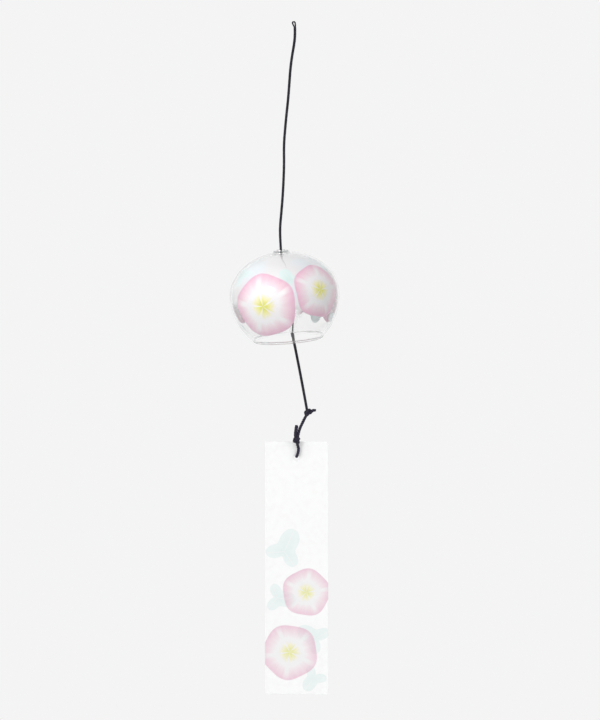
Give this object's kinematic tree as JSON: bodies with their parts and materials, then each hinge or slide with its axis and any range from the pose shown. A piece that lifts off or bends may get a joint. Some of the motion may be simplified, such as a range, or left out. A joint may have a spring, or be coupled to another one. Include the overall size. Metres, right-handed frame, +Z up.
{
  "type": "wind bell",
  "caption": "Glass wind bell on a doubled cord, with a bead and knots inside, a glass tube for a clapper, and a long paper strip tied below it that catches the wind.",
  "frame": {"origin": "where the fold of the cord, the hanging eye, rests on its nail", "axes": "+Z up, +X to the right and -Y towards the viewer; the pieces lean in the XZ plane as pictured"},
  "size_m": [0.08, 0.08, 0.4939],
  "materials": {
    "bell_glass": "clear blown glass",
    "tube_glass": "clear glass tube",
    "bead": "clear glass bead",
    "thin_cord": "braided dark navy cord",
    "thick_cord": "twisted dark navy cord",
    "paper": "smooth white card"
  },
  "bodies": {
    "hanger": {"hanging_eye": "thin_cord"},
    "suspension": {"hanging_strand_left": "thin_cord", "hanging_strand_right": "thin_cord"},
    "stopper": {"stopper_bead": "bead"},
    "bell": {"glass_bell": "bell_glass"},
    "swivel": {"stop_knot": "thin_cord"},
    "clapper_line": {"line_strand_front": "thin_cord", "line_strand_back": "thin_cord"},
    "clapper": {"clapper_tube": "tube_glass", "bore_strand_front": "thin_cord", "bore_strand_back": "thin_cord"},
    "drop": {"clapper_knot": "thin_cord", "drop_strand_left": "thin_cord", "drop_strand_right": "thin_cord"},
    "link": {"joining_knot": "thick_cord", "joining_tail": "thick_cord", "paper_cord": "thick_cord", "tie_tail": "thick_cord"},
    "twist": {"tie_knot": "thick_cord"},
    "sling": {"paper_loop": "thick_cord"},
    "card": {"tanzaku": "paper"}
  },
  "joints": [
    {"name": "cord_swing", "type": "hinge", "parent": "hanger", "child": "suspension", "pos_m": [0.0008, 0, -0.00315], "axis": [0, 1, 0], "range_deg": [-20, 20]},
    {"name": "bell_rock", "type": "hinge", "parent": "suspension", "child": "stopper", "pos_m": [-0.00895, 0, -0.1713], "axis": [0, 1, 0], "range_deg": [-12, 12]},
    {"name": "bell_turn", "type": "hinge", "parent": "stopper", "child": "bell", "pos_m": [-0.00895, 0, -0.1713], "axis": [-0.0837, 0, 0.9965], "continuous": true},
    {"name": "clapper_turn", "type": "hinge", "parent": "stopper", "child": "swivel", "pos_m": [-0.00895, 0, -0.1713], "axis": [-0.0837, 0, 0.9965], "continuous": true},
    {"name": "clapper_swing", "type": "hinge", "parent": "swivel", "child": "clapper_line", "pos_m": [-0.00852, 0, -0.17645], "axis": [0, 1, 0], "range_deg": [-1, 20]},
    {"name": "tube_swing", "type": "hinge", "parent": "clapper_line", "child": "clapper", "pos_m": [0.00124, 0, -0.20227], "axis": [0, 1, 0], "range_deg": [-29, 5]},
    {"name": "drop_swing", "type": "hinge", "parent": "clapper", "child": "drop", "pos_m": [-0.00101, 0, -0.22777], "axis": [0, 1, 0], "range_deg": [-6, 19]},
    {"name": "link_swing", "type": "hinge", "parent": "drop", "child": "link", "pos_m": [0.00998, 0, -0.28564], "axis": [0, 1, 0], "range_deg": [-35, 15]},
    {"name": "card_turn", "type": "hinge", "parent": "link", "child": "twist", "pos_m": [0.00208, 0, -0.30594], "axis": [0, 0, 1], "continuous": true},
    {"name": "card_flap", "type": "hinge", "parent": "twist", "child": "sling", "pos_m": [0.00208, 0, -0.30594], "axis": [1, 0, 0], "range_deg": [-20, 20]},
    {"name": "card_swing", "type": "hinge", "parent": "sling", "child": "card", "pos_m": [0.00208, 0.00293, -0.31814], "axis": [0, 1, 0], "range_deg": [-15, 15]}
  ]
}
